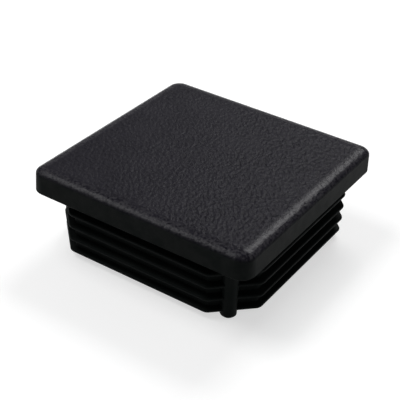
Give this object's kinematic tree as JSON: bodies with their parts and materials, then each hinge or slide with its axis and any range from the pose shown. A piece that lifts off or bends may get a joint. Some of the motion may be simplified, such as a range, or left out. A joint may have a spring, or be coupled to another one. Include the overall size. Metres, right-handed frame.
{
  "type": "square tube end cap",
  "caption": "Square ribbed end cap: a rounded head stops on the end of a square tube, and a hollow finned skirt grips inside it.",
  "frame": {"origin": "centre of the shoulder, the flat underside of the head that stops on the end of the tube", "axes": "+Z out of the tube, from the skirt towards the head's outer face; +X and +Y square to two sides of the head, with the two posts on the +X -Y and -X +Y corners"},
  "size_m": [0.05, 0.05, 0.018],
  "materials": {
    "black_plastic": "fine moulded grain on the top, plainer on the skirt"
  },
  "bodies": {
    "root": {"end_cap": "black_plastic"}
  },
  "joints": []
}
